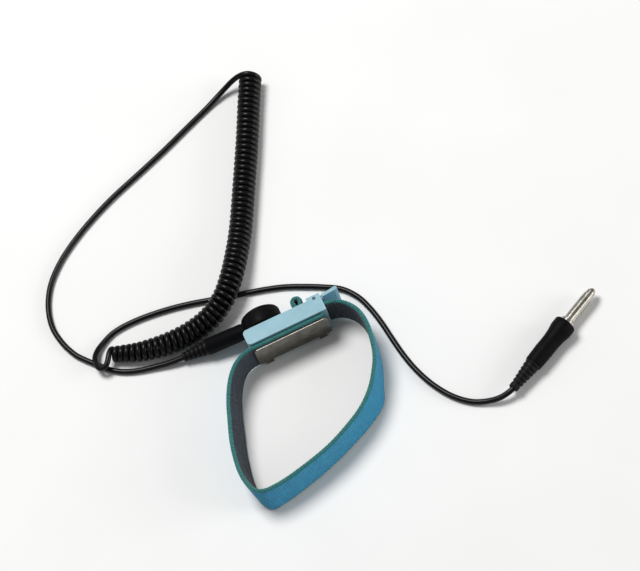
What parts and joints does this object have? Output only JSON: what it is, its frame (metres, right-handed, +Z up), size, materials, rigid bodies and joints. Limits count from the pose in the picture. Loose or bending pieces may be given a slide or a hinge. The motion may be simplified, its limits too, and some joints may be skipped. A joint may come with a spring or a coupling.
{
  "type": "esd wrist strap",
  "caption": "Adjustable elastic grounding wristband with a cam-lock buckle and a snap stud, and its coiled cord with a snap connector and a banana plug.",
  "frame": {"origin": "on the surface that the strap stands on, below the middle of the band, buckle and connector", "axes": "+X along the buckle towards its lever, +Y out of the buckle's face along the snap, away from the wrist, +Z up across the band"},
  "size_m": [0.191, 0.1752, 0.0164],
  "materials": {
    "band_fabric": "ribbed knit elastic, blue outside and grey conductive yarn inside",
    "blue_plastic": "satin moulded plastic",
    "plate_steel": "brushed stainless sheet",
    "nickel": "nickel plated brass, slightly worn",
    "pin_steel": "plain steel pin",
    "spring_brass": "bright spring wire",
    "black_plastic": "fine-textured moulded plastic",
    "resistor_coat": "lacquered resistor body",
    "tinned_metal": "tinned metal",
    "tinsel_wire": "copper tinsel strands",
    "black_flex": "soft moulded elastomer",
    "cord_jacket": "smooth polyurethane jacket with a soft shine",
    "plug_metal": "nickel plated contact"
  },
  "bodies": {
    "cord_set": {"snap_socket": "nickel", "connector_body": "black_plastic", "connector_cap": "black_plastic", "resistor_body": "resistor_coat", "resistor_caps": "tinned_metal", "resistor_leads": "tinned_metal", "crimp_ferrule": "tinned_metal", "wrist_conductor": "tinsel_wire", "connector_boot": "black_flex", "lead_wrist": "cord_jacket", "coil": "cord_jacket", "lead_plug": "cord_jacket", "plug_boot": "black_flex", "plug_handle": "black_plastic", "plug_pin": "plug_metal", "plug_crimp": "tinned_metal", "plug_conductor": "tinsel_wire"},
    "snap_ring": {"snap_spring": "spring_brass"},
    "wristband": {"elastic_band": "band_fabric", "buckle_housing": "blue_plastic", "contact_plate": "plate_steel", "snap_stud": "nickel", "stud_rivet": "nickel", "hinge_pin": "pin_steel"},
    "clasp": {"clasp_lever": "blue_plastic"},
    "plug_lantern": {"contact_spring": "plug_metal"}
  },
  "joints": [
    {"name": "snap_swivel", "type": "hinge", "parent": "cord_set", "child": "snap_ring", "pos_m": [-0.0015, 0.0254, 0.0082], "axis": [0, 1, 0], "range_deg": [-120, 120]},
    {"name": "snap_pull", "type": "slide", "parent": "snap_ring", "child": "wristband", "axis": [0, -1, 0], "range_m": [0, 0.012], "deforming": ["snap_spring"]},
    {"name": "clasp_hinge", "type": "hinge", "parent": "wristband", "child": "clasp", "pos_m": [0.0195, 0.0252, 0.0082], "axis": [0, 0, 1], "range_deg": [0, 95]},
    {"name": "lantern_spin", "type": "hinge", "parent": "cord_set", "child": "plug_lantern", "pos_m": [0.099, -0.0226, 0.0042], "axis": [0.891, 0.454, 0], "continuous": true}
  ]
}
